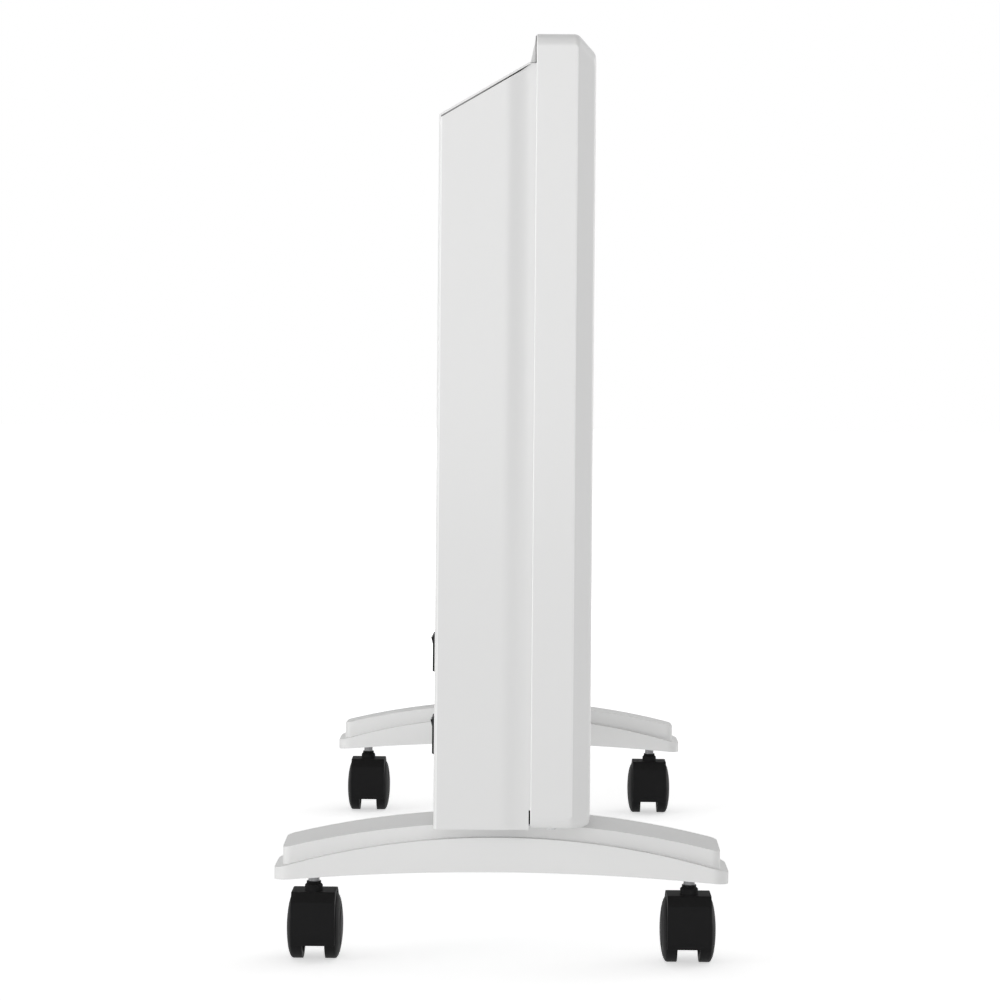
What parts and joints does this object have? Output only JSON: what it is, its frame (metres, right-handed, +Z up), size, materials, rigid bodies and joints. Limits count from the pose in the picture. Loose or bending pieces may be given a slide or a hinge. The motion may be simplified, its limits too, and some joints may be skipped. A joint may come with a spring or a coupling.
{
  "type": "convector heater",
  "caption": "Tall flat convector heater with a chamfered front panel, sloped back edge and louvred outlet, standing on two arched feet with twin-wheel castors.",
  "frame": {"origin": "on the floor, under the middle of the heater's box", "axes": "+X along the heater, -Y the way its front panel faces, +Z up"},
  "size_m": [0.6, 0.24, 0.4906],
  "materials": {
    "white_enamel": "satin powder coat",
    "white_plastic": "fine matt",
    "galvanised": "dull zinc",
    "element_aluminium": "plain",
    "rod_steel": "dark sheath",
    "ceramic": "unglazed",
    "black_plastic": "fine matt",
    "rocker_gloss": "gloss",
    "knob_plastic": "satin",
    "plated_steel": "bright zinc",
    "copper": "plain drawn",
    "wire_insulation": "plain",
    "castor_plastic": "fine matt",
    "wheel_plastic": "satin",
    "stem_steel": "bright zinc"
  },
  "bodies": {
    "heater": {"rear_casing": "white_enamel", "front_panel": "white_enamel", "outlet_grille": "white_enamel", "foot_left": "white_plastic", "foot_right": "white_plastic", "knob_dial": "white_plastic", "base_plate": "galvanised", "heat_shield": "galvanised", "element_bracket_left": "galvanised", "element_bracket_right": "galvanised", "heating_element": "element_aluminium", "element_rod": "rod_steel", "element_insulators": "ceramic", "terminal_block": "ceramic", "tip_over_switch": "black_plastic", "thermal_cutout": "black_plastic", "cable_gland": "black_plastic", "thermostat_body": "black_plastic", "switch_housing_upper": "black_plastic", "switch_housing_lower": "black_plastic", "casing_screws": "plated_steel", "foot_screws": "plated_steel", "foot_nuts": "plated_steel", "sensor_bulb": "copper", "wiring": "wire_insulation", "castor_stem_left_front": "stem_steel", "castor_stem_left_rear": "stem_steel", "castor_stem_right_front": "stem_steel", "castor_stem_right_rear": "stem_steel"},
    "knob": {"thermostat_knob": "knob_plastic", "thermostat_shaft": "plated_steel"},
    "upper_rocker": {"rocker_upper": "rocker_gloss"},
    "lower_rocker": {"rocker_lower": "rocker_gloss"},
    "castor_left_front": {"castor_hood_left_front": "castor_plastic", "castor_axle_left_front": "stem_steel"},
    "wheel_a_left_front": {"castor_wheel_a_left_front": "wheel_plastic"},
    "wheel_b_left_front": {"castor_wheel_b_left_front": "wheel_plastic"},
    "castor_left_rear": {"castor_hood_left_rear": "castor_plastic", "castor_axle_left_rear": "stem_steel"},
    "wheel_a_left_rear": {"castor_wheel_a_left_rear": "wheel_plastic"},
    "wheel_b_left_rear": {"castor_wheel_b_left_rear": "wheel_plastic"},
    "castor_right_front": {"castor_hood_right_front": "castor_plastic", "castor_axle_right_front": "stem_steel"},
    "wheel_a_right_front": {"castor_wheel_a_right_front": "wheel_plastic"},
    "wheel_b_right_front": {"castor_wheel_b_right_front": "wheel_plastic"},
    "castor_right_rear": {"castor_hood_right_rear": "castor_plastic", "castor_axle_right_rear": "stem_steel"},
    "wheel_a_right_rear": {"castor_wheel_a_right_rear": "wheel_plastic"},
    "wheel_b_right_rear": {"castor_wheel_b_right_rear": "wheel_plastic"}
  },
  "joints": [
    {"name": "upper_rocker_press", "type": "hinge", "parent": "heater", "child": "upper_rocker", "pos_m": [-0.26, 0.0345, 0.1671], "axis": [1, 0, 0], "range_deg": [0, 14]},
    {"name": "lower_rocker_press", "type": "hinge", "parent": "heater", "child": "lower_rocker", "pos_m": [-0.26, 0.0345, 0.1236], "axis": [1, 0, 0], "range_deg": [0, 14]},
    {"name": "knob_turn", "type": "hinge", "parent": "heater", "child": "knob", "pos_m": [0.255, 0.035, 0.1456], "axis": [0, -1, 0], "range_deg": [0, 270]},
    {"name": "swivel_left_front", "type": "hinge", "parent": "heater", "child": "castor_left_front", "pos_m": [-0.25, -0.1, 0.04], "axis": [0, 0, 1], "continuous": true},
    {"name": "roll_a_left_front", "type": "hinge", "parent": "castor_left_front", "child": "wheel_a_left_front", "pos_m": [-0.239, -0.1, 0.0175], "axis": [0, 1, 0], "continuous": true},
    {"name": "roll_b_left_front", "type": "hinge", "parent": "castor_left_front", "child": "wheel_b_left_front", "pos_m": [-0.239, -0.1, 0.0175], "axis": [0, 1, 0], "continuous": true},
    {"name": "swivel_left_rear", "type": "hinge", "parent": "heater", "child": "castor_left_rear", "pos_m": [-0.25, 0.1, 0.04], "axis": [0, 0, 1], "continuous": true},
    {"name": "roll_a_left_rear", "type": "hinge", "parent": "castor_left_rear", "child": "wheel_a_left_rear", "pos_m": [-0.239, 0.1, 0.0175], "axis": [0, 1, 0], "continuous": true},
    {"name": "roll_b_left_rear", "type": "hinge", "parent": "castor_left_rear", "child": "wheel_b_left_rear", "pos_m": [-0.239, 0.1, 0.0175], "axis": [0, 1, 0], "continuous": true},
    {"name": "swivel_right_front", "type": "hinge", "parent": "heater", "child": "castor_right_front", "pos_m": [0.25, -0.1, 0.04], "axis": [0, 0, 1], "continuous": true},
    {"name": "roll_a_right_front", "type": "hinge", "parent": "castor_right_front", "child": "wheel_a_right_front", "pos_m": [0.261, -0.1, 0.0175], "axis": [0, 1, 0], "continuous": true},
    {"name": "roll_b_right_front", "type": "hinge", "parent": "castor_right_front", "child": "wheel_b_right_front", "pos_m": [0.261, -0.1, 0.0175], "axis": [0, 1, 0], "continuous": true},
    {"name": "swivel_right_rear", "type": "hinge", "parent": "heater", "child": "castor_right_rear", "pos_m": [0.25, 0.1, 0.04], "axis": [0, 0, 1], "continuous": true},
    {"name": "roll_a_right_rear", "type": "hinge", "parent": "castor_right_rear", "child": "wheel_a_right_rear", "pos_m": [0.261, 0.1, 0.0175], "axis": [0, 1, 0], "continuous": true},
    {"name": "roll_b_right_rear", "type": "hinge", "parent": "castor_right_rear", "child": "wheel_b_right_rear", "pos_m": [0.261, 0.1, 0.0175], "axis": [0, 1, 0], "continuous": true}
  ]
}
